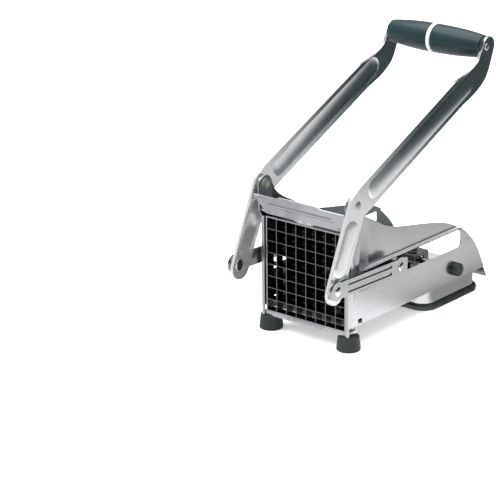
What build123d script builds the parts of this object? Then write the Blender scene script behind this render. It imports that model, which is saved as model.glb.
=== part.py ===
"""Lever press that cuts potatoes into sticks.

Sheet-steel body with a blade grid at the front, a studded pusher inside it, a U-shaped
lever with a barrel handle, two links that pull the pusher forwards, a clamp flap over
the blade insert and a suction foot under the rear.

Frame: +Z up from the table, +Y from the blade grid towards the rear, X across.
The shapes are drawn with Y = 0 at the front faces of the blades, and every piece is
moved at the end so that the origin is the middle of the suction pad's underside.
"""
from build123d import *
import math
import os

# ---------------------------------------------------------------- driving sizes (mm)
# blade insert
cells = 8                   # each way
blade_thickness = 0.6
blade_depth = 7.2
edge_trim = 0.5             # the frame's bars cover this much of the outer cells
frame_bar = 1.2
frame_depth = 8.0
frame_play = 2.3            # between the frame and the side walls
grid_height = 50.7          # middle of the grid above the table
blade_fit = 0.05            # half-lap clearance, each side

# body
body_half = 40.0            # outer face of the lower side walls
sheet = 1.0
hopper_step = 3.8           # the upper panels stand this far inside the lower walls
fold_round = 8.0            # outer radius of the upper panel's upright folds
ledge_round = 1.2           # radius of the ledge's two folds
wall_lift = 3.6             # lower edge of the side walls above the blade frame's underside
wall_rear = 170.0
ledge_height = 57.8         # top face of the step between lower wall and upper panel
jog_front = 11.2            # here the upper panel turns inwards
jog_rear = 26.6             # and here it runs straight again
column_front = 1.2          # front flanges stand this far ahead of the blades
column_width = 2.8
column_reach = 1.9          # and reach this far below the cross rail
column_top = 87.0
column_round = 0.8
rib_front = 2.0             # pressed rib beside the front flange
rib_width = 4.0
rib_height = 0.7
window_front = 8.0
window_rear = 137.7
window_height = 14.0
window_corner = 5.0
ear_y = 2.9
ear_z = 109.0
ear_radius = 7.7
ear_end = 7.4               # degrees past level where the ear's arc ends
notch_front = 10.2
notch_width = 4.8
notch_height = 4.6
# upper edge of a side wall from the ear to the rear, as (y, z)
wall_crest = [(11.9, 107.0), (13.8, 103.4), (24.4, 94.9), (34.9, 89.3), (45.0, 83.6), (55.7, 79.4),
              (72.0, 75.6), (86.0, 73.0), (107.5, 68.6), (125.9, 63.4), (139.5, 56.6)]
wall_back = [(144.7, 52.7), (150.6, 47.4), (156.5, 41.3), (162.9, 31.3), (169.0, 19.4)]
wall_brow = [(-4.6, 104.5), (-4.3, 100.0), (-3.6, 91.0), (0.0, 86.0)]

# floor and foot end
floor_sheet = 0.8
trough_inset = 3.6          # from the side wall's outer face
trough_depth = 2.5
trough_rear = 98.0
rear_flange_reach = 5.5     # how far the rear flange leans back
rear_flange_low = 8.0
rail_thickness = 2.9
rail_depth = 10.0
rail_tab = 1.0
lip_half = 16.0
lip_reach = 2.6
lip_step = 0.4
lip_sheet = 1.2
foot_inset = 4.2            # middle of a foot, from the side wall's outer face
foot_setback = 4.6
foot_radius_top = 7.8
foot_radius_low = 9.0
foot_round = 1.0
foot_screw_radius = 3.2
foot_screw_head = 1.6
foot_screw_sink = 3.0
foot_bolt_radius = 1.6

# lever
pivot_y = 3.2
pivot_z = 110.1
crank_y = -23.2             # lower pin of the arm
crank_z = 54.7
arm_gap = 2.0               # between a lower side wall and the arm
arm_sheet = 2.4
arm_angle = 24.7            # upper arm above the horizontal
lower_half_width = 9.6
lower_offset = 1.0          # middle of the lower arm behind the line from pivot to crank
tip_y = -21.6
tip_z = 52.5
tip_radius = 9.1
elbow_along = 8.0           # the upper arm is straight from here on
upper_half_width = 11.0     # at the elbow
upper_end_width = 10.9      # half width where the neck starts
upper_offset = -1.0         # middle of the upper arm above its line through the pivot
upper_length = 132.0
# edges of the neck in the upper arm's axes, as (along, over)
neck_over = [(141.0, 8.0), (150.0, 6.5), (158.0, 6.2), (163.5, 7.0), (169.0, 10.4), (174.0, 13.6)]
neck_under = [(147.0, -13.1), (158.0, -12.6), (166.5, -10.6), (172.3, -7.0), (179.5, -0.6), (184.6, 4.4)]
hub_along = 179.7
hub_across = 9.5
hub_radius = 7.0
bead_height = 1.2
bead_share = 0.5            # share of its height where a bead's steep flank meets its crown
bead_flank = 1.0            # width of the flank
bead_flat = 0.8             # half width of the flat along the crown
upper_bead_half = 7.5
upper_bead_start = 21.5     # along the upper arm
upper_bead_end = 144.5
lower_bead_half = 7.6
lower_bead_start = 18.5     # from the pivot
lower_bead_margin = 14.8    # before the crank pin
grip_along = 176.8
grip_across = 10.4
rod_radius = 4.0
grip_end_radius = 8.9
grip_mid_radius = 11.0
grip_belly = 0.55
ring_radius = 11.4
ring_width = 3.0
ring_offset = -2.0
screw_radius = 1.8
screw_head_radius = 2.7
screw_reach = 10.0
screw_bore = 12.0
socket_radius = 1.3
socket_floor = 0.4
pivot_radius = 2.4
pivot_head_radius = 3.2     # outside the arms
ear_head_radius = 4.2       # inside the ears
crank_radius = 2.6
crank_head_radius = 4.2
head_height = 1.2
flat_head = 0.9             # lower heads where a part passes close by
head_rim = 0.3              # upright part of a head's edge
head_flat = 0.5             # radius of the flat spot on its crown
pivot_washer_radius = 4.6

# pusher and links
axle_y = 50.7
axle_drop = 4.2             # under the ledge
axle_radius = 2.6
axle_head_radius = 3.3
link_half_width = 6.0
link_end_radius = 7.0
link_tail = 8.2             # square rear end beyond the axle
link_tail_corner = 2.5
link_sheet = 1.8
link_gap = 0.3              # between the arm's bead and the link
link_pin_radius = 2.2
link_pin_head = 3.5
collar_radius = 6.0
flute_offset = 2.7
flute_width = 2.2
flute_depth = 1.0
flute_margin = 11.0         # from the pins to the flutes' ends
flute_shift = 0.7
stud_front = 15.0
stud_length = 9.0
stud_play = 3.2             # studs are this much narrower than the cells
stud_chamfer = 0.7
plate_thickness = 2.0
plate_corner = 2.0
plate_top_gap = 0.6
pusher_gap = 0.8            # pusher plate to hopper walls
carriage_half = 28.0
carriage_height = 18.0
carriage_sheet = 2.0
carriage_tail = 4.0
carriage_round = 4.0
spacer_wall = 1.0

# clamp flap, in its own plane: heights are measured up the slope from its lower edge
flap_sheet = 0.9
flap_low_y = -1.6
flap_low_z = 89.9
flap_top_y = -8.4
flap_top_z = 105.0
flap_overhang = 1.0         # upper corners beyond the side walls
flap_inset = 6.0            # lower corners inside the side walls' outer faces
flap_flare = 0.8            # the low corners are this much wider than the lower edge
flap_flare_height = 1.75
flap_corner = 1.6
tongue_half = 9.6
tongue_low_half = 6.0
tongue_drop = 2.2
tab_half = 20.5
tab_top_half = 16.5
tab_height = 1.95
flap_rib_half = 29.5
flap_rib_width = 3.8
flap_rib_place = 9.2
flap_rib_height = 1.0
flap_rib_flank = 0.5
flap_rib_flat = 0.3
slot_place = 3.9
slot_length = 3.5
slot_height = 1.0
flap_pin_radius = 1.1
flap_pin_y = -1.4
flap_pin_z = 92.0
knuckle_wall = 0.6
knuckle_length = 4.0

# suction foot
pad_middle = 134.0          # from the blades to the middle of the pad
pad_half_x = 38.3
pad_half_y = 36.8
pad_height = 4.6
pad_corner = 13.0
pad_round = 1.4
pad_chamfer = 0.6
pad_floor = 1.8             # height of the foot disc's seat in the pad
skirt_half_x = 35.9
skirt_half_y = 34.4
skirt_corner = 11.0
stem_radius = 3.5
stem_foot_radius = 8.0
stem_foot_height = 2.0
lift = 2.5                  # travel of the stem
knob_y = 130.2
knob_z = 27.0
knob_radius = 5.1
knob_length = 4.9
knob_cap = 2.0
knob_round = 1.4
knob_mark_width = 0.8
knob_mark_depth = 0.3
shaft_radius = 2.5
shaft_collar = 1.4
shaft_collar_length = 1.7
cam_radius = 4.0
cam_half = 5.0
cam_throw = 2.0             # points forwards at rest and upwards when turned
stirrup_half = 9.0          # outer half width of the bracket around the cam
stirrup_sheet = 1.4
stirrup_front = 122.2
stirrup_rear = 139.5
nut_radius = 4.2
nut_height = 2.8

# fits
running = 0.05              # radial clearance of shafts and pins
gap = 0.3                   # between parts that pass each other
seat = 0.1                  # under rivet heads beside a turning part
far = 400.0                 # beyond every piece, for cuts

# ---------------------------------------------------------------- derived places
wall_inner = body_half - sheet
hopper_half = body_half - hopper_step
hopper_inner = hopper_half - sheet
frame_half = wall_inner - frame_play
opening_half = frame_half - frame_bar
cut_half = opening_half + edge_trim
cell_pitch = 2 * cut_half / cells
frame_low = grid_height - frame_half
frame_top = grid_height + frame_half
wall_low = frame_low + wall_lift
rail_low = frame_low - rail_thickness
column_low = rail_low - column_reach
ledge_low = ledge_height - sheet
window_low = ledge_low - window_height
foot_height = rail_low
foot_half = body_half - foot_inset
trough_half = body_half - trough_inset
arm_inner = body_half + arm_gap
arm_outer = arm_inner + arm_sheet
link_inner = arm_outer + bead_height + link_gap
link_outer = link_inner + link_sheet
arm_dir = (math.cos(math.radians(arm_angle)), math.sin(math.radians(arm_angle)))
crank_length = math.hypot(crank_y - pivot_y, crank_z - pivot_z)
crank_dir = ((crank_y - pivot_y) / crank_length, (crank_z - pivot_z) / crank_length)
axle_z = ledge_low - axle_drop
floor_top = wall_low + floor_sheet
skirt_top = wall_low
stem_floor = pad_floor + 1.0
flap_top_half = body_half + flap_overhang
flap_low_half = body_half - flap_inset
flap_rise = math.hypot(flap_low_y - flap_top_y, flap_top_z - flap_low_z)
flap_lean = math.degrees(math.atan2(flap_low_y - flap_top_y, flap_top_z - flap_low_z))

os.makedirs("parts", exist_ok=True)


# ---------------------------------------------------------------- helpers
def save(name, shape):
    """Write one sub-part with the origin under the middle of the suction pad."""
    export_step(Pos(0, -pad_middle, 0) * shape, f"parts/{name}.step")


def mirrored(shape):
    return mirror(shape, about=Plane.YZ)


def both(shape):
    return Compound([shape, mirrored(shape)])


def side_face(points):
    """Closed face in the YZ plane through (y, z) points."""
    return Plane.YZ * make_face(Polyline(*points, close=True))


def across(face, low, high):
    """Extrude a YZ face from x = low to x = high."""
    return Pos(low, 0, 0) * extrude(face, amount=high - low, dir=(1, 0, 0))


def disc_x(y, z, radius, low, high):
    """Cylinder along X."""
    return Pos((low + high) / 2, y, z) * Rot(0, 90, 0) * Cylinder(radius, high - low)


def block(x0, x1, y0, y1, z0, z1):
    return Pos((x0 + x1) / 2, (y0 + y1) / 2, (z0 + z1) / 2) * Box(x1 - x0, y1 - y0, z1 - z0)


def upright(x, y, radius, low, high):
    """Cylinder along Z."""
    return Pos(x, y, (low + high) / 2) * Cylinder(radius, high - low)


def circle_yz(y, z, radius):
    return Plane.YZ * Pos(y, z) * Circle(radius)


def strap(a, ra, b, rb):
    """YZ face around two circles and the tangents between them."""
    length = math.hypot(b[0] - a[0], b[1] - a[1])
    heading = math.atan2(b[1] - a[1], b[0] - a[0])
    spread = math.acos((ra - rb) / length)
    corners = []
    for centre, radius, sign in ((a, ra, 1), (b, rb, 1), (b, rb, -1), (a, ra, -1)):
        turn = heading + sign * spread
        corners.append((centre[0] + radius * math.cos(turn), centre[1] + radius * math.sin(turn)))
    return side_face(corners) + circle_yz(*a, ra) + circle_yz(*b, rb)


def dome_head(y, z, radius, face, height, outwards):
    """Low domed rivet head on the plane x = face."""
    shoulder = face + outwards * head_rim
    crown = face + outwards * height
    middle = shoulder + 0.75 * (crown - shoulder)
    profile = Polyline((crown, head_flat), (crown, 0), (face, 0), (face, radius), (shoulder, radius))
    profile += ThreePointArc((shoulder, radius), (middle, (radius + head_flat) / 2), (crown, head_flat))
    return Pos(0, y, z) * revolve(make_face(profile), axis=Axis.X)


# ---------------------------------------------------------------- blade insert
def blade_frame():
    outer = Pos(0, frame_depth / 2, grid_height) * Box(2 * frame_half, frame_depth, 2 * frame_half)
    inner = Pos(0, frame_depth / 2, grid_height) * Box(2 * opening_half, frame_depth, 2 * opening_half)
    return outer - inner


def grid_places():
    return [(i - cells / 2) * cell_pitch for i in range(1, cells)]


def vertical_blades():
    """Blades with slots in their rear half."""
    front = (frame_depth - blade_depth) / 2
    middle = frame_depth / 2
    blades = []
    for x in grid_places():
        blade = block(x - blade_thickness / 2, x + blade_thickness / 2, front, front + blade_depth,
                      grid_height - opening_half, grid_height + opening_half)
        for z in grid_places():
            half = blade_thickness / 2 + blade_fit
            blade -= block(x - blade_thickness, x + blade_thickness, middle - blade_fit, frame_depth,
                           grid_height + z - half, grid_height + z + half)
        blades.append(blade)
    return Compound(blades)


def horizontal_blades():
    """Blades with slots in their front half."""
    front = (frame_depth - blade_depth) / 2
    middle = frame_depth / 2
    blades = []
    for z in grid_places():
        height = grid_height + z
        blade = block(-opening_half, opening_half, front, front + blade_depth,
                      height - blade_thickness / 2, height + blade_thickness / 2)
        for x in grid_places():
            half = blade_thickness / 2 + blade_fit
            blade -= block(x - half, x + half, 0, middle + blade_fit,
                           height - blade_thickness, height + blade_thickness)
        blades.append(blade)
    return Compound(blades)


# ---------------------------------------------------------------- side walls
def wall_outline():
    """Silhouette of a side wall, with the ear around the lever's pivot."""
    turn = math.radians(ear_end)
    ear_rear = (ear_y + ear_radius * math.cos(turn), ear_z + ear_radius * math.sin(turn))
    ear_front = (ear_y - ear_radius, ear_z)
    ear_top = (ear_y, ear_z + ear_radius)
    corner = (wall_rear, wall_low)
    edges = ThreePointArc(ear_front, ear_top, ear_rear)
    edges += Spline(ear_rear, *wall_crest)
    edges += Spline(wall_crest[-1], *wall_back, corner)
    edges += Polyline(corner, (0, wall_low), *reversed(wall_brow), ear_front)
    return Plane.YZ * make_face(edges)


def plan_extrusion(points, low, high):
    """Upright solid over a plan outline of (x, y) points."""
    return Pos(0, 0, low) * extrude(make_face(Polyline(*points, close=True)), amount=high - low)


def ledge_fold(x, z, side, start):
    """Solid between a sharp fold along the ledge and its rounding; side is +1 for a filling."""
    centre = (x + side * ledge_round, z + side * ledge_round)
    ends = sorted((x, centre[0])), sorted((z, centre[1]))
    strip = block(*ends[0], start, far, *ends[1])
    round_bar = Pos(centre[0], far / 2, centre[1]) * Rot(90, 0, 0) * Cylinder(ledge_round, 2 * far)
    return strip - round_bar


def side_wall():
    """Right wall: lower wall with ear, inset upper panel and the ledge between them."""
    outline = wall_outline()
    crown = ear_z + 2 * ear_radius
    fold_start = jog_front - 2 * sheet
    lower = across(outline, wall_inner, body_half)
    lower -= block(0, far, fold_start, far, ledge_height, crown)

    # the upper panel turns inwards between two upright folds
    fold = sheet * math.tan(math.atan2(body_half - hopper_half, jog_rear - jog_front) / 2)
    bends = [(body_half, jog_front), (hopper_half, jog_rear),
             (hopper_inner, jog_rear - fold), (wall_inner, jog_front - fold)]
    panel = Polyline((body_half, fold_start), *bends[:2], (hopper_half, far), (hopper_inner, far),
                     *bends[2:], (wall_inner, fold_start), close=True)
    panel = make_face(panel)
    corners = [panel.vertices().sort_by_distance((*bend, 0))[0] for bend in bends]
    panel = fillet(corners, fold_round)
    upper = Pos(0, 0, ledge_low) * extrude(panel, amount=crown - ledge_low)
    upper &= across(outline, 0, far)
    shelf = [(body_half, jog_front), (body_half, far), (hopper_inner, far),
             (hopper_inner, jog_rear), (wall_inner, jog_front)]
    ledge = plan_extrusion(shelf, ledge_low, ledge_height) & across(outline, 0, far)
    filling = ledge_fold(hopper_half, ledge_height, 1, jog_rear + 2 * sheet)
    filling &= across(outline, 0, far)
    # the outer rounding starts where the folding panel has cleared it
    clear = jog_front + 1.5 * ledge_round * (jog_rear - jog_front) / hopper_step
    wall = lower + upper + ledge + filling - ledge_fold(body_half, ledge_height, -1, clear)

    window = RectangleRounded(window_rear - window_front, ledge_low - window_low, window_corner)
    window_place = Pos((window_front + window_rear) / 2, (ledge_low + window_low) / 2)
    window_cut = across(Plane.YZ * window_place * window, hopper_inner, body_half + sheet)
    wall -= window_cut

    rib_face = Pos(body_half, rib_front + rib_width / 2) * Ellipse(rib_height, rib_width / 2)
    rib = Pos(0, 0, wall_low) * extrude(rib_face, amount=frame_top - wall_low)
    wall += rib - block(0, wall_inner, -far, far, 0, far)
    column = block(body_half - column_width, body_half, -column_front, -column_front + sheet,
                   column_low, column_top)
    column = fillet(column.edges().filter_by(Axis.Z).group_by(Axis.Y)[0].sort_by(Axis.X)[-1],
                    column_round)
    wall += column + block(wall_inner, body_half, -column_front + sheet / 2, sheet,
                           wall_low, column_top)
    wall -= block(wall_inner - sheet, body_half + sheet, notch_front, notch_front + notch_width,
                  0, wall_low + notch_height)
    wall -= disc_x(pivot_y, pivot_z, pivot_radius, 0, far)
    wall -= disc_x(flap_pin_y, flap_pin_z, flap_pin_radius + running, 0, far)
    wall -= disc_x(knob_y, knob_z, shaft_radius + running, 0, far)
    return wall


# ---------------------------------------------------------------- floor, rail and feet
def floor_plate():
    front = frame_depth + gap
    trough_low = wall_low - trough_depth
    plate = block(-wall_inner, wall_inner, front, wall_rear, wall_low, floor_top)
    outer = block(-trough_half, trough_half, front, trough_rear, trough_low, floor_top)
    inner = block(-trough_half + floor_sheet, trough_half - floor_sheet, 0,
                  trough_rear - floor_sheet, trough_low + floor_sheet, floor_top + sheet)
    plate = plate + outer - inner
    rear = wall_rear + rear_flange_reach
    flange = side_face([(wall_rear - floor_sheet, floor_top), (wall_rear, floor_top),
                        (rear, rear_flange_low), (rear - floor_sheet, rear_flange_low)])
    plate += across(flange, -wall_inner, wall_inner)
    return plate - upright(0, pad_middle, stem_radius + gap, wall_low - sheet, floor_top + sheet)


def bottom_rail():
    """Cross rail that carries the blade insert, with the lip tab at its front."""
    front = -column_front + sheet
    rail = block(-wall_inner, wall_inner, front, rail_depth, rail_low, frame_low)
    lip_top = frame_low - lip_step
    rail += block(-lip_half, lip_half, front - lip_reach, 0, lip_top - lip_sheet, lip_top)
    for side in (-1, 1):
        ends = sorted((side * (wall_inner - rail_tab), side * wall_inner))
        rail += block(*ends, frame_depth + 2 * gap, rail_depth, rail_low, wall_low)
        rail -= upright(side * foot_half, foot_setback, foot_bolt_radius + running,
                        rail_low - sheet, frame_low + sheet)
    return rail


def rubber_foot(side):
    foot = Pos(side * foot_half, foot_setback, foot_height / 2) * Cone(
        foot_radius_low, foot_radius_top, foot_height)
    foot = fillet(foot.edges().filter_by(GeomType.CIRCLE), foot_round)
    inner = side * (body_half - column_width - gap)
    outer = side * (body_half + gap)
    slot = block(min(inner, outer), max(inner, outer), -column_front - gap,
                 -column_front + sheet + gap, column_low - gap, foot_height + sheet)
    bore = upright(side * foot_half, foot_setback, foot_bolt_radius + running, 0, foot_height)
    sink = upright(side * foot_half, foot_setback, foot_screw_radius + running, 0, foot_screw_sink)
    return foot - slot - bore - sink


def foot_screws():
    """Screws that hold the feet on the rail, up to the blade frame's underside."""
    screws = []
    head_low = foot_screw_sink - foot_screw_head
    for side in (-1, 1):
        shank = upright(side * foot_half, foot_setback, foot_bolt_radius, head_low, frame_low)
        head = upright(side * foot_half, foot_setback, foot_screw_radius, head_low, foot_screw_sink)
        screws.append(shank + head)
    return Compound(screws)


# ---------------------------------------------------------------- lever
def arm_point(along, over):
    """Point in the upper arm's own axes: along it from the pivot, and square to it."""
    return (pivot_y + along * arm_dir[0] - over * arm_dir[1],
            pivot_z + along * arm_dir[1] + over * arm_dir[0])


def crank_point(along, behind):
    """Point in the lower arm's own axes: from the pivot towards the crank pin, and behind it."""
    return (pivot_y + along * crank_dir[0] - behind * crank_dir[1],
            pivot_z + along * crank_dir[1] + behind * crank_dir[0])


grip_y, grip_z = arm_point(grip_along, grip_across)


def neck_face():
    """Curved end of the upper arm that reaches up to the hub."""
    over = [arm_point(upper_length, upper_offset + upper_end_width)]
    over += [arm_point(*point) for point in neck_over]
    under = [arm_point(upper_length, upper_offset - upper_end_width)]
    under += [arm_point(*point) for point in neck_under]
    edges = Spline(*over, tangents=[arm_dir, (over[-1][0] - over[-2][0], over[-1][1] - over[-2][1])])
    edges += Line(over[-1], under[-1])
    edges += Spline(*under, tangents=[arm_dir, (under[-1][0] - under[-2][0], under[-1][1] - under[-2][1])])
    edges += Line(under[0], over[0])
    return Plane.YZ * make_face(edges)


def bead(length, half_width, height, flank, flat):
    """Pressed bead with a crowned top and round ends, along +Z with its crown towards +Y."""
    inner = half_width - flank
    shoulder = bead_share * height
    middle = shoulder + 0.75 * (height - shoulder)
    outline = Polyline((flat, height), (0, height), (0, 0), (half_width, 0), (inner, shoulder))
    outline += ThreePointArc((inner, shoulder), ((inner + flat) / 2, middle), (flat, height))
    half = make_face(outline)
    cap = revolve(half, axis=Axis.Y, revolution_arc=180)
    bar = extrude(half + mirror(half, about=Plane.YZ), amount=length)
    return bar + cap + Pos(0, 0, length) * Rot(0, 180, 0) * cap


def arm_bead(start, end, half_width):
    """Bead between two (y, z) points, on the plane x = 0."""
    length = math.hypot(end[0] - start[0], end[1] - start[1])
    run = ((end[0] - start[0]) / length, (end[1] - start[1]) / length)
    place = Plane(origin=(0, *start), x_dir=(0, -run[1], run[0]), z_dir=(0, *run))
    return place * bead(length, half_width, bead_height, bead_flank, bead_flat)


def arm():
    """Right arm: stamped dogleg with two beads pressed outwards."""
    heel = crank_point(0, lower_offset)
    elbow = arm_point(elbow_along, upper_offset)
    face = strap(heel, lower_half_width, (tip_y, tip_z), tip_radius)
    face += strap(heel, lower_half_width, elbow, upper_half_width)
    face += strap(elbow, upper_half_width, arm_point(upper_length, upper_offset), upper_end_width)
    face += neck_face()
    face += circle_yz(*arm_point(hub_along, hub_across), hub_radius)
    plate = across(face, arm_inner, arm_outer)
    upper = (arm_point(upper_bead_start, upper_offset), arm_point(upper_bead_end, upper_offset))
    lower = (crank_point(lower_bead_start, lower_offset),
             crank_point(crank_length - lower_bead_margin, lower_offset))
    for ends, half_width in ((upper, upper_bead_half), (lower, lower_bead_half)):
        pressed = arm_bead(*ends, half_width)
        plate += Pos(arm_outer, 0, 0) * pressed
        plate -= Pos(arm_inner, 0, 0) * pressed
    plate -= disc_x(pivot_y, pivot_z, pivot_radius + running, arm_inner, arm_outer)
    plate -= disc_x(crank_y, crank_z, crank_radius, arm_inner, arm_outer)
    plate -= disc_x(grip_y, grip_z, screw_radius + running, arm_inner, arm_outer)
    return plate


def grip(low, high, thick_end):
    """Half of the barrel grip, from x = low to x = high."""
    radii = (grip_mid_radius, grip_end_radius) if thick_end == "low" else (grip_end_radius, grip_mid_radius)
    belly = (grip_mid_radius + grip_end_radius) / 2 + grip_belly
    profile = Polyline((high, radii[1]), (high, rod_radius + running), (low, rod_radius + running),
                       (low, radii[0]))
    profile += ThreePointArc((low, radii[0]), ((low + high) / 2, belly), (high, radii[1]))
    return Pos(0, grip_y, grip_z) * revolve(make_face(profile), axis=Axis.X)


def handle_ring():
    ring = disc_x(grip_y, grip_z, ring_radius, ring_offset - ring_width / 2, ring_offset + ring_width / 2)
    return ring - disc_x(grip_y, grip_z, rod_radius + running, -arm_inner, arm_inner)


def handle_rod():
    rod = disc_x(grip_y, grip_z, rod_radius, -arm_inner, arm_inner)
    for side in (-1, 1):
        ends = sorted((side * (arm_inner - screw_bore), side * arm_inner))
        rod -= disc_x(grip_y, grip_z, screw_radius + running, *ends)
    return rod


def handle_screw():
    """Right handle screw with a hexagon socket."""
    screw = disc_x(grip_y, grip_z, screw_radius, arm_inner - screw_reach, arm_outer)
    screw += dome_head(grip_y, grip_z, screw_head_radius, arm_outer, head_height, 1)
    hexagon = Plane.YZ * Pos(grip_y, grip_z) * RegularPolygon(socket_radius, 6)
    return screw - across(hexagon, arm_outer + socket_floor, arm_outer + head_height)


def pivot_rivet():
    """Right rivet, fixed in the ear, on which the arm turns."""
    rivet = disc_x(pivot_y, pivot_z, pivot_radius, wall_inner, arm_outer + seat)
    rivet += dome_head(pivot_y, pivot_z, ear_head_radius, wall_inner, head_height, -1)
    return rivet + dome_head(pivot_y, pivot_z, pivot_head_radius, arm_outer + seat, flat_head, 1)


def pivot_washer():
    washer = disc_x(pivot_y, pivot_z, pivot_washer_radius, body_half, arm_inner - seat)
    return washer - disc_x(pivot_y, pivot_z, pivot_radius + running, body_half, arm_inner)


def crank_pin():
    """Right pin in the arm's lower end, with the collar that the link lies against."""
    pin = disc_x(crank_y, crank_z, crank_radius, arm_inner, arm_outer)
    pin += dome_head(crank_y, crank_z, crank_head_radius, arm_inner, flat_head, -1)
    return pin + disc_x(crank_y, crank_z, collar_radius, arm_outer, link_inner - gap)


# ---------------------------------------------------------------- pusher and links
def link():
    """Right link: flat bar with two flutes."""
    span = math.hypot(axle_y - crank_y, axle_z - crank_z)
    tilt = math.degrees(math.atan2(axle_z - crank_z, axle_y - crank_y))
    face = Rectangle(span, 2 * link_half_width) + Pos(-span / 2, 0) * Circle(link_end_radius)
    face += Pos(span / 2, 0) * Circle(link_end_radius)
    face += Pos(span / 2, 0) * RectangleRounded(2 * link_tail, 2 * link_half_width, link_tail_corner)
    middle = (0, (axle_y + crank_y) / 2, (axle_z + crank_z) / 2)
    place = Plane(origin=middle, x_dir=(0, 1, 0), z_dir=(1, 0, 0)) * Rot(0, 0, tilt)
    bar = Pos(link_inner, 0, 0) * extrude(place * face, amount=link_sheet)
    flute = SlotOverall(span - 2 * flute_margin, flute_width)
    for side in (-1, 1):
        cut = extrude(place * Pos(flute_shift, side * flute_offset) * flute, amount=link_sheet)
        bar -= Pos(link_outer - flute_depth, 0, 0) * cut
    bar -= disc_x(axle_y, axle_z, axle_radius + running, link_inner, link_outer)
    bar -= disc_x(crank_y, crank_z, link_pin_radius, link_inner, link_outer)
    return bar


def link_rivet():
    """Right front rivet of the link."""
    rivet = disc_x(crank_y, crank_z, link_pin_radius, link_inner, link_outer)
    return rivet + dome_head(crank_y, crank_z, link_pin_head, link_outer, head_height, 1)


def axle():
    """Cross axle that reaches through both side windows, with a riveted head at each end."""
    shaft = disc_x(axle_y, axle_z, axle_radius, -link_outer - seat, link_outer + seat)
    for side in (-1, 1):
        shaft += dome_head(axle_y, axle_z, axle_head_radius, side * (link_outer + seat), head_height, side)
    return shaft


def spacer(side):
    ends = sorted((side * (carriage_half + seat), side * (link_inner - gap)))
    tube = disc_x(axle_y, axle_z, axle_radius + spacer_wall, *ends)
    return tube - disc_x(axle_y, axle_z, axle_radius, *ends)


def pusher_plate():
    plate_y = stud_front + stud_length
    half = hopper_inner - pusher_gap
    low = wall_low - trough_depth + floor_sheet + gap
    top = grid_height + cut_half - plate_top_gap
    face = Plane.XZ * Pos(0, (low + top) / 2) * RectangleRounded(2 * half, top - low, plate_corner)
    return Pos(0, plate_y + plate_thickness, 0) * extrude(face, amount=plate_thickness)


def pusher_studs():
    studs = []
    for i in range(cells):
        for j in range(cells):
            x = (i - (cells - 1) / 2) * cell_pitch
            z = grid_height + (j - (cells - 1) / 2) * cell_pitch
            half = (cell_pitch - stud_play) / 2
            stud = block(x - half, x + half, stud_front, stud_front + stud_length, z - half, z + half)
            studs.append(chamfer(stud.faces().sort_by(Axis.Y)[0].edges(), stud_chamfer))
    return Compound(studs)


def carriage():
    """U-bracket from the pusher plate back to the axle."""
    front = stud_front + stud_length + plate_thickness
    rear = axle_y + axle_radius + carriage_tail
    low = axle_z - carriage_height / 2
    high = axle_z + carriage_height / 2
    body = block(-carriage_half, carriage_half, front, rear, low, high)
    body -= block(-carriage_half + carriage_sheet, carriage_half - carriage_sheet,
                  front + carriage_sheet, rear + sheet, low - sheet, high + sheet)
    body = fillet(body.edges().filter_by(Axis.X).group_by(Axis.Y)[-1], carriage_round)
    return body - disc_x(axle_y, axle_z, axle_radius, -body_half, body_half)


# ---------------------------------------------------------------- clamp flap
def flap_outline():
    """Outline in the flap's own plane, from its lower edge upwards."""
    right = [(tongue_low_half, -tongue_drop), (tongue_half, 0), (flap_low_half, 0),
             (flap_low_half + flap_flare, flap_flare_height),
             (flap_top_half, flap_rise - flap_corner), (flap_top_half, flap_rise),
             (tab_half, flap_rise), (tab_top_half, flap_rise + tab_height)]
    left = [(-x, h) for x, h in reversed(right)]
    return make_face(Polyline(*right, *left, close=True))


def flap():
    """Clamp plate that leans forwards over the blade insert."""
    plate = extrude(flap_outline(), amount=-flap_sheet)
    rib_reach = flap_rib_half - flap_rib_width / 2
    rib_place = Plane(origin=(-rib_reach, flap_rib_place, 0), x_dir=(0, 1, 0), z_dir=(1, 0, 0))
    rib = rib_place * bead(2 * rib_reach, flap_rib_width / 2, flap_rib_height, flap_rib_flank,
                           flap_rib_flat)
    plate = plate + rib - Pos(0, 0, -flap_sheet) * rib
    for x in (-slot_place, slot_place):
        plate -= Pos(x, 0, -flap_sheet / 2) * Box(slot_length, slot_height, 2 * flap_sheet)
    lean = math.radians(flap_lean)
    place = Plane(origin=(0, flap_low_y, flap_low_z), x_dir=(1, 0, 0),
                  z_dir=(0, -math.cos(lean), -math.sin(lean)))
    plate = place * plate
    knuckle_end = flap_low_half + flap_flare
    for side in (-1, 1):
        ends = sorted((side * (knuckle_end - knuckle_length), side * knuckle_end))
        plate += disc_x(flap_pin_y, flap_pin_z, flap_pin_radius + knuckle_wall, *ends)
        plate -= disc_x(flap_pin_y, flap_pin_z, flap_pin_radius,
                        *sorted((side * (knuckle_end - knuckle_length), side * body_half)))
    return plate


def flap_pins():
    pins = []
    start = flap_low_half + flap_flare - knuckle_length
    for side in (-1, 1):
        ends = sorted((side * start, side * body_half))
        pins.append(disc_x(flap_pin_y, flap_pin_z, flap_pin_radius, *ends))
    return Compound(pins)


# ---------------------------------------------------------------- suction foot
def suction_skirt():
    """Hollow steel skirt under the floor."""
    height = skirt_top - pad_height
    outer = extrude(RectangleRounded(2 * skirt_half_x, 2 * skirt_half_y, skirt_corner), amount=height)
    inner = extrude(RectangleRounded(2 * (skirt_half_x - sheet), 2 * (skirt_half_y - sheet),
                                     skirt_corner - sheet), amount=height - sheet)
    skirt = Pos(0, pad_middle, pad_height) * (outer - inner)
    return skirt - upright(0, pad_middle, stem_radius + gap, skirt_top - 2 * sheet, skirt_top)


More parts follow.
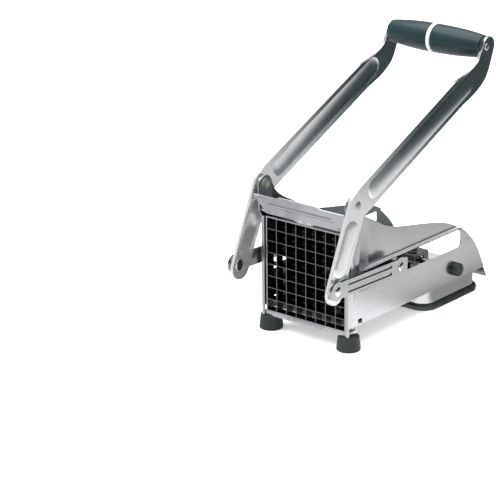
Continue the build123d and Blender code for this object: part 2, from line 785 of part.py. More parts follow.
def suction_pad():
    pad = extrude(RectangleRounded(2 * pad_half_x, 2 * pad_half_y, pad_corner), amount=pad_height)
    pad = fillet(pad.edges().group_by(Axis.Z)[-1], pad_round)
    pad = chamfer(pad.edges().group_by(Axis.Z)[0], pad_chamfer)
    return Pos(0, pad_middle, 0) * pad - upright(0, pad_middle, stem_foot_radius + gap, stem_floor,
                                                 pad_height + sheet)


def suction_stem():
    """Stem with its foot disc in the pad, up to the bracket above the floor."""
    foot = upright(0, pad_middle, stem_foot_radius, stem_floor, stem_floor + stem_foot_height)
    return foot + upright(0, pad_middle, stem_radius, stem_floor, floor_top + gap)


def lift_bracket():
    """Stirrup on the stem, around the shaft and the cam that raises it."""
    low = floor_top + gap
    bridge_low = knob_z + cam_radius + 2 * gap
    top = bridge_low + stirrup_sheet
    middle = (stirrup_front + stirrup_rear) / 2
    frame = block(-stirrup_half, stirrup_half, stirrup_front, stirrup_rear, low, top)
    inside = stirrup_half - stirrup_sheet
    frame -= block(-inside, inside, stirrup_front, stirrup_rear, low + stirrup_sheet, bridge_low)
    frame -= block(-stirrup_half, stirrup_half, knob_y - shaft_radius - 2 * gap,
                   knob_y + shaft_radius + 2 * gap, knob_z - shaft_radius - lift - 2 * gap,
                   knob_z + shaft_radius + 2 * gap)
    nut = Pos(0, middle, top) * extrude(RegularPolygon(nut_radius, 6), amount=nut_height)
    return frame + nut


def cam_shaft():
    """Cross shaft with the eccentric that lifts the stem."""
    shaft = disc_x(knob_y, knob_z, shaft_radius, -body_half - gap, body_half + gap + knob_length - knob_cap)
    shaft += disc_x(knob_y - cam_throw, knob_z, cam_radius, -cam_half, cam_half)
    for side in (-1, 1):
        ends = sorted((side * (wall_inner - gap - shaft_collar_length), side * (wall_inner - gap)))
        shaft += disc_x(knob_y, knob_z, shaft_radius + shaft_collar, *ends)
    return shaft + dome_head(knob_y, knob_z, shaft_radius + shaft_collar, -body_half - gap, head_height, -1)


def knob():
    """Round rubber-covered knob on the shaft's right end."""
    face = body_half + gap
    tip = face + knob_length
    body = disc_x(knob_y, knob_z, knob_radius, face, tip)
    body = fillet(body.edges().filter_by(GeomType.CIRCLE).sort_by(Axis.X)[-1], knob_round)
    bore = disc_x(knob_y, knob_z, shaft_radius, face, tip - knob_cap)
    mark = block(tip - knob_mark_depth, tip, knob_y - knob_mark_width / 2,
                 knob_y + knob_mark_width / 2, knob_z, knob_z + knob_radius)
    return body - bore - mark


# ---------------------------------------------------------------- write every piece
right_wall = side_wall()
save("wall_right", right_wall)
save("wall_left", mirrored(right_wall))
save("floor_plate", floor_plate())
save("bottom_rail", bottom_rail())
save("foot_right", rubber_foot(1))
save("foot_left", rubber_foot(-1))
save("foot_screws", foot_screws())
save("blade_frame", blade_frame())
save("vertical_blades", vertical_blades())
save("horizontal_blades", horizontal_blades())
save("pivot_rivets", both(pivot_rivet()))
save("pivot_washers", both(pivot_washer()))

right_arm = arm()
save("arm_right", right_arm)
save("arm_left", mirrored(right_arm))
save("crank_pins", both(crank_pin()))
save("handle_rod", handle_rod())
save("handle_screws", both(handle_screw()))
save("grip_left", grip(-arm_inner, ring_offset - ring_width / 2, "high"))
save("grip_right", grip(ring_offset + ring_width / 2, arm_inner, "low"))
save("handle_ring", handle_ring())

right_link = link()
save("link_right", right_link)
save("link_left", mirrored(right_link))
right_rivet = link_rivet()
save("link_rivet_right", right_rivet)
save("link_rivet_left", mirrored(right_rivet))
save("pusher_axle", axle())
save("axle_spacers", Compound([spacer(-1), spacer(1)]))
save("pusher_plate", pusher_plate())
save("pusher_studs", pusher_studs())
save("pusher_carriage", carriage())

save("clamp_flap", flap())
save("flap_pins", flap_pins())

save("suction_skirt", suction_skirt())
save("suction_pad", suction_pad())
save("suction_stem", suction_stem())
save("lift_bracket", lift_bracket())
save("cam_shaft", cam_shaft())
save("suction_knob", knob())
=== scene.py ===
# %% [markdown]
# # A lever press that cuts potatoes into sticks
# This lesson dresses a finished CAD model of a kitchen press. The press has a sheet-steel body, a
# square blade grid, a studded pusher, a U-shaped lever with a barrel grip, and a suction foot.
# The CAD model is loaded as a fixed frame, in metres, with +Z up and +Y from the grid to the rear.
# All parts keep their CAD shape and get fine edges and a real finish, except the barrel grip and its
# ring. Their swell and their round lips are soft, so they are turned again and take the place of the
# CAD solids.

import math

import bpy
from mathutils import Matrix, Vector


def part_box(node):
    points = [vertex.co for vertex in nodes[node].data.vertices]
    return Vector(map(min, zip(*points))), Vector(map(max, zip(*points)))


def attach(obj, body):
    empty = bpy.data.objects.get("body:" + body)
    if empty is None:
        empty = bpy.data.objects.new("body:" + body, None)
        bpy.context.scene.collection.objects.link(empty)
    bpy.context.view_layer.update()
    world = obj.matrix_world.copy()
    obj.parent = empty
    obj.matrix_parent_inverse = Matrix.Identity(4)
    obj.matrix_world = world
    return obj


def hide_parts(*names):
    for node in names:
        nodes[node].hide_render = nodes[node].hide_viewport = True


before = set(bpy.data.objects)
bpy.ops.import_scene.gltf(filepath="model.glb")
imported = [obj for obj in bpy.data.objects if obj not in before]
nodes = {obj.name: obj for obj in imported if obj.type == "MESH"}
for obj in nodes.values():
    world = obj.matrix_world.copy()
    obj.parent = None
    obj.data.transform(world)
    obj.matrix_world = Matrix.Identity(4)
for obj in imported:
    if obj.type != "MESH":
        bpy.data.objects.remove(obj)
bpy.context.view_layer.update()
mm = 0.001

# %% [markdown]
# ## The camera
# A product view is taken from far away with a long lens, so that upright edges stay nearly upright.
# The camera stands 1.6 m off, above the front right corner. Its direction is given by two plain
# vectors, the way to the right of the picture and the way back towards the camera.

# %% Camera
camera_place = Vector((0.91605, -1.27622, 0.57890))
camera_right = Vector((0.78319, 0.62178, -0.00118)).normalized()
camera_back = Vector((0.58765, -0.73957, 0.32819)).normalized()
camera_up = camera_back.cross(camera_right)
lens_mm = 156.32
lens_shift = (-0.1290, -0.0035)

camera_data = bpy.data.cameras.new("product_camera")
camera_data.sensor_width = 36.0
camera_data.lens = lens_mm
camera_data.shift_x, camera_data.shift_y = lens_shift
camera_data.clip_end = 20.0
camera = bpy.data.objects.new("product_camera", camera_data)
turn = Matrix((camera_right, camera_up, camera_back)).transposed().to_4x4()
camera.matrix_world = Matrix.Translation(camera_place) @ turn
bpy.context.scene.collection.objects.link(camera)
bpy.context.scene.camera = camera
bpy.context.scene.view_settings.view_transform = "Standard"
print("camera at", tuple(round(v, 3) for v in camera_place))

# %% [markdown]
# ## Small helpers
# Colours are written as sRGB hex values, because that is how finishes are chosen and discussed.
# Shaders work in linear light, so one function converts them. A second function adds a node with
# its settings and links, which keeps every material short enough to read.


# %% Helpers for colour and nodes
def linear(hex_colour):
    """sRGB hex, such as '#B9BABC', as a linear RGBA colour."""
    channels = [int(hex_colour[i:i + 2], 16) / 255 for i in (1, 3, 5)]
    return [c / 12.92 if c <= 0.04045 else ((c + 0.055) / 1.055) ** 2.4 for c in channels] + [1.0]


def add_node(tree, kind, settings=None, inputs=None):
    """Add a node; inputs may be values or (node, output name) links."""
    node = tree.nodes.new(kind)
    for name, value in (settings or {}).items():
        setattr(node, name, value)
    for name, value in (inputs or {}).items():
        if isinstance(value, tuple) and isinstance(value[0], bpy.types.Node):
            tree.links.new(value[0].outputs[value[1]], node.inputs[name])
        else:
            node.inputs[name].default_value = value
    return node


def new_material(name):
    """Empty node material with its output node."""
    material = bpy.data.materials.new(name)
    material.use_nodes = True
    material.node_tree.nodes.clear()
    output = material.node_tree.nodes.new("ShaderNodeOutputMaterial")
    return material, material.node_tree, output


def ramp(tree, factor, stops):
    """Colour ramp through (position, hex or grey) stops."""
    node = add_node(tree, "ShaderNodeValToRGB", inputs={"Fac": factor})
    elements = node.color_ramp.elements
    while len(elements) < len(stops):
        elements.new(0.5)
    for element, (position, value) in zip(elements, stops):
        element.position = position
        element.color = linear(value) if isinstance(value, str) else (value, value, value, 1.0)
    return node


print("mid grey #808080 in linear light:", round(linear("#808080")[0], 3))

# %% [markdown]
# ## Finishes
# Stainless sheet is brushed in one direction. Each hair line scatters light across itself, so the
# sheet looks satin, and its reflections are drawn out across the brushing. The pattern is a noise
# that is stretched along the brushing; its lines are drawn 0.25 to 0.4 mm wide, coarser than the real
# 0.1 mm, so that they still show in a small picture. Faint clouds, about 36 mm across, keep a large
# sheet from looking even.
#
# Handled steel isn't equally bright all over. Faces that look up are worn more matt. On some parts,
# the faces that point one way are painted darker, as painted shade. Both are worked out from the
# way a face points.


# %% Brushed steel
brushing_draw = 0.02
cloud_scale = 28.0
cloud_share = 0.20
worn_metallic = 0.45
low_metallic = 0.72
high_metallic = 0.985


def facing(tree, place, axis, start, end):
    """0 to 1 as the surface turns towards an axis of the part."""
    parts = add_node(tree, "ShaderNodeSeparateXYZ", inputs={"Vector": (place, "Normal")})
    return add_node(tree, "ShaderNodeMapRange", {"interpolation_type": "SMOOTHSTEP"}, {
        "Value": (parts, axis), "From Min": start, "From Max": end})


def brushed_steel(name, colour, dark, angle, roughness, line_mm=0.4, spread=0.05, worn=None,
                  painted_shade=None, low=None):
    """Brushed sheet whose lines run in the YZ plane at an angle above +Y, in degrees.

    worn, as (axis, start, end), makes the faces turned towards an axis more matt. painted_shade, as
    (axis, start, end, tone), paints such faces darker in that tone, as painted shade. low, as (from,
    to) heights in mm, makes the steel below them more matt.
    """
    material, tree, output = new_material(name)
    place = add_node(tree, "ShaderNodeTexCoord")
    turned = add_node(tree, "ShaderNodeMapping", inputs={
        "Vector": (place, "Object"), "Rotation": (-math.radians(angle), 0, 0)})
    stretched = add_node(tree, "ShaderNodeMapping", inputs={
        "Vector": (turned, "Vector"), "Scale": (1.0, brushing_draw, 1.0)})
    lines = add_node(tree, "ShaderNodeTexNoise", inputs={
        "Vector": (stretched, "Vector"), "Scale": 1 / (line_mm * mm), "Detail": 4.0, "Roughness": 0.6})
    clouds = add_node(tree, "ShaderNodeTexNoise", inputs={
        "Vector": (place, "Object"), "Scale": cloud_scale, "Detail": 3.0})
    tone = ramp(tree, (lines, "Fac"), [(0.25, dark), (0.75, colour)])
    soft = add_node(tree, "ShaderNodeMix", {"data_type": "RGBA", "blend_type": "MULTIPLY"}, {
        "Factor": cloud_share, "A": (tone, "Color"), "B": (clouds, "Fac")})
    # Painted shade: faces that point along the given axis are mixed towards a dark tone.
    if painted_shade:
        painted_shade_mask = facing(tree, place, *painted_shade[:3])
        soft = add_node(tree, "ShaderNodeMix", {"data_type": "RGBA"}, {
            "Factor": (painted_shade_mask, "Result"), "A": (soft, "Result"), "B": linear(painted_shade[3])})
    metallic = 1.0
    if worn:
        turned_to = facing(tree, place, *worn)
        metallic = (add_node(tree, "ShaderNodeMapRange", inputs={
            "Value": (turned_to, "Result"), "To Min": 1.0, "To Max": worn_metallic}), "Result")
    if low:
        parts = add_node(tree, "ShaderNodeSeparateXYZ", inputs={"Vector": (place, "Object")})
        metallic = (add_node(tree, "ShaderNodeMapRange", {"interpolation_type": "SMOOTHSTEP"}, {
            "Value": (parts, "Z"), "From Min": low[0] * mm, "From Max": low[1] * mm,
            "To Min": low_metallic, "To Max": high_metallic}), "Result")
    rough = add_node(tree, "ShaderNodeMapRange", inputs={
        "Value": (lines, "Fac"), "To Min": roughness - spread, "To Max": roughness + spread})
    bump = add_node(tree, "ShaderNodeBump", inputs={
        "Height": (lines, "Fac"), "Strength": 0.12, "Distance": 0.02 * mm})
    shader = add_node(tree, "ShaderNodeBsdfPrincipled", inputs={
        "Base Color": (soft, "Result"), "Metallic": metallic,
        "Roughness": (rough, "Result"), "Normal": (bump, "Normal")})
    tree.links.new(shader.outputs["BSDF"], output.inputs["Surface"])
    return material


# The arms are brushed along their length, which rises at this angle when the lever is at rest.
arm_angle = 24.7
upwards = ("Z", 0.6, 0.9)
# Painted shade: faces that look up are mixed towards this near black tone.
painted_top_shade = ("Z", 0.3, 0.8, "#2C302F")
# Body sheet: satin lines from front to rear, and faces that look up are worn to a soft grey.
body_steel = brushed_steel("brushed_stainless_sheet", "#D3D4D6", "#BFC0C3", 0.0, 0.22, 0.3, 0.04,
                           upwards)
# Left wall: the same sheet, with its inner face painted darker, as painted shade inside the body.
left_steel = brushed_steel("brushed_sheet_painted_shade_inside", "#D3D4D6", "#BFC0C3", 0.0, 0.22, 0.3, 0.04,
                           upwards, ("X", 0.5, 0.9, "#707678"))
# Arms: bright sheet with fine lines, almost a mirror at the top and softer low down.
arm_steel = brushed_steel("satin_stainless_arm", "#F0F2F4", "#E6E8EA", arm_angle, 0.18, 0.3, 0.02,
                          low=(100, 150))
# Links: narrow sheet. Faces that look left are softer, and edges that look up are painted dark,
# as painted shade.
link_steel = brushed_steel("brushed_stainless_link", "#C9CBCD", "#C0C2C4", 0.0, 0.20, 0.25, 0.03,
                           ("X", -0.5, -0.9), ("Z", 0.2, 0.5, "#43494C"))
# Blades: ground upright. Their faces are mid grey, and what looks up is painted almost black, as
# painted shade.
blade_steel = brushed_steel("ground_blade_steel", "#8E918E", "#7E817E", 90.0, 0.20, 0.3, 0.02,
                            painted_shade=painted_top_shade)
# Pusher and carriage: steel coloured dark and even, as painted shade, so that they sink back behind
# the grid.
inside_steel = brushed_steel("dark_steel_painted_shade", "#3A3D3B", "#313432", 90.0, 0.45)
# Clamp flap: bright sheet with fine lines.
flap_steel = brushed_steel("brushed_clamp_sheet", "#CFCFD3", "#C4C4C9", 0.0, 0.18, 0.25, 0.03)
# The blade insert's frame: a little duller than the flap, with upper faces painted dark, as
# painted shade.
frame_steel = brushed_steel("brushed_insert_frame", "#C6C6CA", "#BCBCC1", 0.0, 0.24, 0.25, 0.03,
                            painted_shade=painted_top_shade)
# Suction skirt: drawn sheet, smoother than the rest, which mirrors the room in upright bands.
skirt_steel = brushed_steel("bright_drawn_sheet", "#C9CACC", "#C1C2C4", 0.0, 0.14, 0.25, 0.02)
print("steel finishes:", body_steel.name, arm_steel.name)

# %% [markdown]
# Rivets and screws are polished, so they mirror the room in small bright and dark patches. The
# grips and their ring are moulded ABS with a smooth gloss, and the pusher's studs a duller plastic
# coloured near black, as painted shade. Feet, knob and suction pad are rubber, whose fine grain
# breaks the highlight up.


# %% Polished steel, plastics and rubber
wear_mm = 0.8
wear_share = 0.3
drift_mm = 14
grain_spread = 0.04


def polished_steel(name, colour, roughness):
    """Tumbled or plated steel whose gloss varies a little from place to place."""
    material, tree, output = new_material(name)
    place = add_node(tree, "ShaderNodeTexCoord")
    wear = add_node(tree, "ShaderNodeTexNoise", inputs={
        "Vector": (place, "Object"), "Scale": 1 / (wear_mm * mm), "Detail": 3.0})
    rough = add_node(tree, "ShaderNodeMapRange", inputs={
        "Value": (wear, "Fac"), "To Min": roughness * (1 - wear_share),
        "To Max": roughness * (1 + wear_share)})
    shader = add_node(tree, "ShaderNodeBsdfPrincipled", inputs={
        "Base Color": linear(colour), "Metallic": 1.0, "Roughness": (rough, "Result")})
    tree.links.new(shader.outputs["BSDF"], output.inputs["Surface"])
    return material


def moulded(name, colour, light, roughness, grain_mm, depth_mm, ior=1.5):
    """Moulded plastic or rubber: slight colour drift, and a grain of that size and depth."""
    material, tree, output = new_material(name)
    place = add_node(tree, "ShaderNodeTexCoord")
    drift = add_node(tree, "ShaderNodeTexNoise", inputs={
        "Vector": (place, "Object"), "Scale": 1 / (drift_mm * mm), "Detail": 2.0})
    tone = ramp(tree, (drift, "Fac"), [(0.35, colour), (0.75, light)])
    grain = add_node(tree, "ShaderNodeTexNoise", inputs={
        "Vector": (place, "Object"), "Scale": 1 / (grain_mm * mm), "Detail": 3.0})
    rough = add_node(tree, "ShaderNodeMapRange", inputs={
        "Value": (grain, "Fac"), "To Min": roughness - grain_spread,
        "To Max": roughness + grain_spread})
    bump = add_node(tree, "ShaderNodeBump", inputs={
        "Height": (grain, "Fac"), "Strength": 0.5, "Distance": depth_mm * mm})
    shader = add_node(tree, "ShaderNodeBsdfPrincipled", inputs={
        "Base Color": (tone, "Color"), "Roughness": (rough, "Result"), "IOR": ior,
        "Normal": (bump, "Normal")})
    tree.links.new(shader.outputs["BSDF"], output.inputs["Surface"])
    return material


# Rivets and screws: tumbled smooth. The rivets in the ears are matt, and the cam parts dark zinc.
rivet_steel = polished_steel("tumbled_rivet_steel", "#D6D7D8", 0.20)
ear_rivet_steel = polished_steel("matt_rivet_steel", "#D0CFC8", 0.45)
cam_steel = polished_steel("zinc_plated_steel", "#787B7E", 0.14)
# Grip: glossy dark ABS with one soft highlight along the barrel. The ring is plain white ABS.
grip_plastic = moulded("gloss_abs_grip", "#0D2428", "#112B30", 0.22, 0.5, 0.003, 1.54)
ring_plastic = moulded("white_abs_ring", "#E9EBEA", "#F1F2F1", 0.30, 0.5, 0.005)
# Rubber: coarse grain on the feet, finer on the knob, and almost smooth on the suction pad.
foot_rubber = moulded("black_foot_rubber", "#1B2324", "#222B2C", 0.50, 0.6, 0.03)
pad_rubber = moulded("smooth_pad_rubber", "#161E1F", "#1D2627", 0.32, 0.6, 0.01)
knob_rubber = moulded("soft_knob_rubber", "#1D2627", "#232D2E", 0.45, 0.5, 0.02)
# Studs: moulded plastic coloured near black, as painted shade, which shows only as dark squares
# behind the grid.
stud_plastic = moulded("near_black_stud_painted_shade", "#101312", "#161918", 0.40, 0.6, 0.01)
print("finishes:", len(bpy.data.materials))

# %% [markdown]
# ## Dressing the CAD sheets
# A sheet that comes straight from CAD has knife-sharp edges that catch no light. A real pressed
# edge is broken by about 0.2 mm, and that thin bright line is what makes steel look like steel.
# The CAD mesh is loose triangles, so a Weld modifier joins them, Decimate merges flat areas, Bevel
# rounds the true edges, and Weighted Normal keeps the flats flat. The side walls go without
# Decimate, which would cut straight across the rounded corners of their windows.


# %% Edge dressing
weld_mm = 0.002
flat_angle = 0.6
flat_weight = 90


def dress(node, material, edge_mm=0.2, angle=30.0, segments=2, merge=True, clamp=True):
    """Give a CAD node its finish and fine rounded edges, without touching its mesh."""
    item = nodes[node]
    item.data.materials.clear()
    item.data.materials.append(material)
    for polygon in item.data.polygons:
        polygon.use_smooth = True
    weld = item.modifiers.new("weld", "WELD")
    weld.merge_threshold = weld_mm * mm
    if merge:
        flats = item.modifiers.new("flats", "DECIMATE")
        flats.decimate_type = "DISSOLVE"
        flats.angle_limit = math.radians(flat_angle)
    if edge_mm:
        bevel = item.modifiers.new("edge", "BEVEL")
        bevel.limit_method = "ANGLE"
        bevel.angle_limit = math.radians(angle)
        bevel.width = edge_mm * mm
        bevel.segments = segments
        bevel.use_clamp_overlap = clamp
    normals = item.modifiers.new("normals", "WEIGHTED_NORMAL")
    normals.weight = flat_weight
    return item


for name in ("floor_plate", "bottom_rail"):
    dress(name, body_steel)
dress("wall_right", body_steel, 0.15, merge=False, clamp=False)
dress("wall_left", left_steel, 0.15, merge=False, clamp=False)
dress("suction_skirt", skirt_steel)
for name in ("arm_right", "arm_left"):
    dress(name, arm_steel, 0.5)
for name in ("link_right", "link_left"):
    dress(name, link_steel)
dress("blade_frame", frame_steel)
for name in ("vertical_blades", "horizontal_blades"):
    dress(name, blade_steel, 0.1, segments=1)
dress("clamp_flap", flap_steel)
for name in ("pusher_plate", "pusher_carriage"):
    dress(name, inside_steel)
dress("pusher_studs", stud_plastic, 0.3)
for name in ("pivot_washers", "crank_pins", "flap_pins", "handle_rod", "pusher_axle",
             "link_rivet_right", "link_rivet_left", "handle_screws", "foot_screws"):
    dress(name, rivet_steel, 0.15)
dress("pivot_rivets", ear_rivet_steel, 0.15)
for name in ("axle_spacers", "lift_bracket", "cam_shaft", "suction_stem"):
    dress(name, cam_steel, 0.2)
for name in ("foot_right", "foot_left"):
    dress(name, foot_rubber, 0.3)
dress("suction_pad", pad_rubber, 0.3)
dress("suction_knob", knob_rubber, 0.3)
print("dressed nodes:", sum(len(item.modifiers) > 0 for item in nodes.values()))

# %% [markdown]
# ## Turned pieces
# The barrel grip is turned work: an outline spun about the handle's axis. It could be a cylinder with
# a bulge modifier, but an outline gives the slow swell, the small round lips at both ends and the
# bore all at once. The outline is drawn by extruding one point along it, as with a pen, and Spin
# carries it round. The last and first rings then lie on each other, so doubles are merged.


# %% The turning helper
smooth_angle = 40


def turned(name, outline, centre, steps=72):
    """Spin a closed outline of (x, radius) points, in metres, about the axis along X through centre."""
    points = [Vector((x, centre[1], centre[2] + radius)) for x, radius in outline]
    bpy.ops.object.select_all(action="DESELECT")
    bpy.ops.mesh.primitive_plane_add(size=mm, location=points[0])
    piece = bpy.context.object
    piece.name = name
    bpy.ops.object.transform_apply(location=True, rotation=True, scale=True)
    bpy.ops.object.mode_set(mode="EDIT")
    bpy.ops.mesh.select_all(action="SELECT")
    bpy.ops.mesh.merge(type="CENTER")
    for start, end in zip(points, points[1:] + points[:1]):
        bpy.ops.mesh.extrude_region_move(TRANSFORM_OT_translate={"value": end - start})
    bpy.ops.mesh.select_all(action="SELECT")
    bpy.ops.mesh.spin(steps=steps, angle=2 * math.pi, center=centre, axis=(1, 0, 0))
    bpy.ops.mesh.select_all(action="SELECT")
    bpy.ops.mesh.remove_doubles(threshold=weld_mm * mm)
    bpy.ops.mesh.normals_make_consistent(inside=False)
    bpy.ops.object.mode_set(mode="OBJECT")
    bpy.ops.object.shade_smooth_by_angle(angle=math.radians(smooth_angle))
    return piece


def lip(x, radius, rounding, inwards, turns=5):
    """Quarter-round points from an end face at x to the surface; inwards is +1 towards +X."""
    points = []
    for i in range(turns):
        angle = math.pi / 2 * i / (turns - 1)
        points.append((x + inwards * rounding * (1 - math.cos(angle)),
                       radius - rounding * (1 - math.sin(angle))))
    return points


# %% [markdown]
# Each half of the grip is moulded ABS, thickest at the middle ring and slimmer at the arm. Its swell
# is a flat arc of circle, so a few points with a parabola's rise describe it well.

# %% Grip halves and ring
rod_fit = 4.05 * mm
swell = 0.8 * mm
thin_end = 8.3 * mm
inner_lip = 0.5 * mm
outer_lip = 1.2 * mm
ring_lip = 0.6 * mm
swell_steps = 16


def grip_half(node, thick_side):
    """Barrel half with its thick end towards thick_side, which is -1 or +1 along X."""
    low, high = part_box(node)
    centre = (0.0, (low[1] + high[1]) / 2, (low[2] + high[2]) / 2)
    thick = (high[2] - low[2]) / 2
    inner, outer = (low[0], high[0]) if thick_side < 0 else (high[0], low[0])
    run = 1 if outer > inner else -1
    outline = [(inner, rod_fit)] + lip(inner, thick, inner_lip, run)
    for i in range(1, swell_steps):
        share = i / swell_steps
        x = inner + (outer - inner) * share
        outline.append((x, thick + (thin_end - thick) * share + 4 * swell * share * (1 - share)))
    outline += lip(outer, thin_end, outer_lip, -run)[::-1] + [(outer, rod_fit)]
    piece = turned(node + "_moulded", outline, centre)
    piece.data.materials.append(grip_plastic)
    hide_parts(node)
    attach(piece, "lever")
    return piece


right_half = grip_half("grip_right", -1)
left_half = grip_half("grip_left", 1)

low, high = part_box("handle_ring")
axis_point = (0.0, (low[1] + high[1]) / 2, (low[2] + high[2]) / 2)
ring_radius = (high[2] - low[2]) / 2
band = [(low[0], rod_fit)] + lip(low[0], ring_radius, ring_lip, 1)
band += lip(high[0], ring_radius, ring_lip, -1)[::-1] + [(high[0], rod_fit)]
handle_band = turned("handle_ring_moulded", band, axis_point)
handle_band.data.materials.append(ring_plastic)
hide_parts("handle_ring")
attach(handle_band, "lever")
print("grip faces:", len(right_half.data.polygons), "ring radius mm:", round(ring_radius / mm, 2))

# %% [markdown]
# ## Studio
# The press stands on a plain white table. To the camera the floor and the room are white. Bright
# steel looks like steel only because it mirrors light and dark things, so glossy rays see a set: a
# light room, and a dark cloth hung behind on the right, above a table that falls into shade before
# it. Two soft lamps, which no mirror shows, give the shape its shadows.

# %% Where the dark cloth hangs
cloth_way = (0.62, 0.78, 0.0)
cloth_edge = (0.25, 0.70)
viewer_way = (0.62, -0.78, 0.0)
viewer_edge = (0.80, 0.97)


def towards(tree, vector, way, start, end):
    """1 where a direction, or a place seen from the middle, points along way, else 0."""
    flat = add_node(tree, "ShaderNodeVectorMath", {"operation": "MULTIPLY"}, {0: vector, 1: (1, 1, 0)})
    unit = add_node(tree, "ShaderNodeVectorMath", {"operation": "NORMALIZE"}, {0: (flat, "Vector")})
    along = add_node(tree, "ShaderNodeVectorMath", {"operation": "DOT_PRODUCT"},
                     {0: (unit, "Vector"), 1: way})
    return add_node(tree, "ShaderNodeMapRange", inputs={
        "Value": (along, "Value"), "From Min": start, "From Max": end})


# %% [markdown]
# The floor answers three kinds of ray. Plain light meets matt white, which keeps the shadow. The camera
# meets the same white with a little light of its own. Mirrored rays meet a table painted darker with
# distance on the cloth's side, with a painted contact shade about the body, and painted light on the
# open floor towards the viewer. A large plane is enough for the shape.

# %% Floor
floor_size = 6.0
floor_white = (0.9, 0.9, 0.9, 1.0)
floor_lift = 0.35
# Painted contact shade: the mirrored floor about the body's footprint is darker.
body_half = (0.045, 0.10, 0)
shade_near = 0.015
shade_far = 0.05
shade_level = 0.5
painted_light_gain = 0.7

bpy.ops.object.select_all(action="DESELECT")
bpy.ops.mesh.primitive_plane_add(size=floor_size, location=(0, 0, 0))
floor = bpy.context.object
floor.name = "studio_floor"
material, tree, output = new_material("white_studio_floor")
rays = add_node(tree, "ShaderNodeLightPath")
place = add_node(tree, "ShaderNodeTexCoord")
away = add_node(tree, "ShaderNodeVectorMath", {"operation": "LENGTH"}, {"Vector": (place, "Object")})
short_table = ramp(tree, (away, "Value"), [
    (0.15, 0.95), (0.20, 0.78), (0.27, 0.72), (0.36, 0.36), (0.47, "#4F5A5C"), (0.60, "#384345")])
long_table = ramp(tree, (away, "Value"), [(0.0, 0.95), (0.5, 0.85), (1.0, 0.6)])
side = towards(tree, (place, "Object"), cloth_way, *cloth_edge)
table = add_node(tree, "ShaderNodeMix", {"data_type": "RGBA"}, {
    "Factor": (side, "Result"), "A": (long_table, "Color"), "B": (short_table, "Color")})
# Painted contact shade: darker with nearness to the body's footprint.
half_way = add_node(tree, "ShaderNodeVectorMath", {"operation": "ABSOLUTE"}, {0: (place, "Object")})
beyond = add_node(tree, "ShaderNodeVectorMath", {"operation": "SUBTRACT"}, {
    0: (half_way, "Vector"), 1: body_half})
outside = add_node(tree, "ShaderNodeVectorMath", {"operation": "MAXIMUM"}, {
    0: (beyond, "Vector"), 1: (0, 0, 0)})
gap = add_node(tree, "ShaderNodeVectorMath", {"operation": "LENGTH"}, {0: (outside, "Vector")})
shade = add_node(tree, "ShaderNodeMapRange", {"interpolation_type": "SMOOTHSTEP"}, {
    "Value": (gap, "Value"), "From Min": shade_near, "From Max": shade_far, "To Min": shade_level})
matt = add_node(tree, "ShaderNodeBsdfDiffuse", inputs={"Color": floor_white})
lift = add_node(tree, "ShaderNodeEmission", inputs={
    "Color": (1.0, 1.0, 1.0, 1.0), "Strength": floor_lift})
seen = add_node(tree, "ShaderNodeAddShader")
tree.links.new(matt.outputs[0], seen.inputs[0])
tree.links.new(lift.outputs[0], seen.inputs[1])
# Towards the viewer, the mirrored floor is kept out of the painted shade and painted brighter, as painted
# light.
front = towards(tree, (place, "Object"), viewer_way, *viewer_edge)
open_floor = add_node(tree, "ShaderNodeMath", {"operation": "MAXIMUM"}, {
    0: (shade, "Result"), 1: (front, "Result")})
level = add_node(tree, "ShaderNodeMath", {"operation": "MULTIPLY_ADD"}, {
    0: (front, "Result"), 1: painted_light_gain, 2: (open_floor, "Value")})
glossy = add_node(tree, "ShaderNodeEmission", inputs={
    "Color": (table, "Result"), "Strength": (level, "Value")})
first = add_node(tree, "ShaderNodeMixShader", inputs={"Fac": (rays, "Is Camera Ray")})
tree.links.new(matt.outputs[0], first.inputs[1])
tree.links.new(seen.outputs[0], first.inputs[2])
second = add_node(tree, "ShaderNodeMixShader", inputs={"Fac": (rays, "Is Glossy Ray")})
tree.links.new(first.outputs[0], second.inputs[1])
tree.links.new(glossy.outputs[0], second.inputs[2])
tree.links.new(second.outputs[0], output.inputs["Surface"])
floor.data.materials.append(material)
print("floor:", floor_size, "m, shade ends", shade_far, "m from the body")

# %% [markdown]
# The world is white to the camera. To mirrored rays it is a grey room that gets lighter upwards, with the
# dark cloth on one side and a bright field of lamps overhead. The height runs from 0 straight down to 1
# straight up, so 0.5 is the horizon.

# %% World and lamps
lamps_from = 0.84
lamps_full = 0.90
lamps_strength = 2.2
press_middle = (0, 0, 0.08)

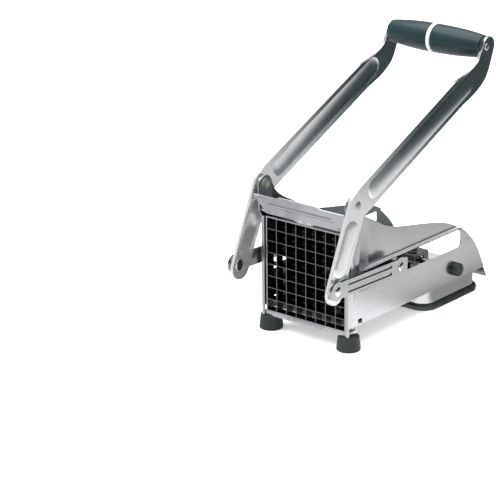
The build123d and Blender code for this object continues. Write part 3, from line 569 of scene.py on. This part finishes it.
world = bpy.data.worlds.new("studio_room")
bpy.context.scene.world = world
world.use_nodes = True
room = world.node_tree
room.nodes.clear()
rays = add_node(room, "ShaderNodeLightPath")
place = add_node(room, "ShaderNodeTexCoord")
parts = add_node(room, "ShaderNodeSeparateXYZ", inputs={"Vector": (place, "Generated")})
height = add_node(room, "ShaderNodeMapRange", inputs={"Value": (parts, "Z"), "From Min": -1.0})
cloth = ramp(room, (height, "Result"), [(0.50, "#2A3538"), (0.70, "#343F42"), (0.79, 0.70), (0.90, 1.0)])
light = ramp(room, (height, "Result"), [(0.50, 0.45), (0.66, 0.52), (0.80, 0.62), (0.88, 1.0)])
side = towards(room, (place, "Generated"), cloth_way, *cloth_edge)
sky = add_node(room, "ShaderNodeMix", {"data_type": "RGBA"}, {
    "Factor": (side, "Result"), "A": (light, "Color"), "B": (cloth, "Color")})
lamp_field = add_node(room, "ShaderNodeMapRange", {"interpolation_type": "SMOOTHSTEP"}, {
    "Value": (height, "Result"), "From Min": lamps_from, "From Max": lamps_full,
    "To Min": 1.0, "To Max": lamps_strength})
lit = add_node(room, "ShaderNodeBackground", inputs={
    "Color": (sky, "Result"), "Strength": (lamp_field, "Result")})
white = add_node(room, "ShaderNodeBackground", inputs={"Color": (1, 1, 1, 1), "Strength": 1.0})
mixed = add_node(room, "ShaderNodeMixShader", inputs={"Fac": (rays, "Is Camera Ray")})
room.links.new(lit.outputs[0], mixed.inputs[1])
room.links.new(white.outputs[0], mixed.inputs[2])
surface = add_node(room, "ShaderNodeOutputWorld")
room.links.new(mixed.outputs[0], surface.inputs["Surface"])


def soft_lamp(name, place, target, size, power):
    """Square area lamp that faces its target."""
    data = bpy.data.lights.new(name, "AREA")
    data.shape = "SQUARE"
    data.size = size
    data.energy = power
    lamp = bpy.data.objects.new(name, data)
    aim = (Vector(place) - Vector(target)).to_track_quat("Z", "Y")
    lamp.matrix_world = Matrix.Translation(place) @ aim.to_matrix().to_4x4()
    bpy.context.scene.collection.objects.link(lamp)
    lamp.visible_glossy = False
    return lamp


soft_lamp("key_softbox", (-0.9, -1.1, 1.3), press_middle, 1.0, 26)
soft_lamp("top_softbox", (0.2, 0.2, 1.6), press_middle, 1.2, 22)
print("lamps:", len(bpy.data.lights))
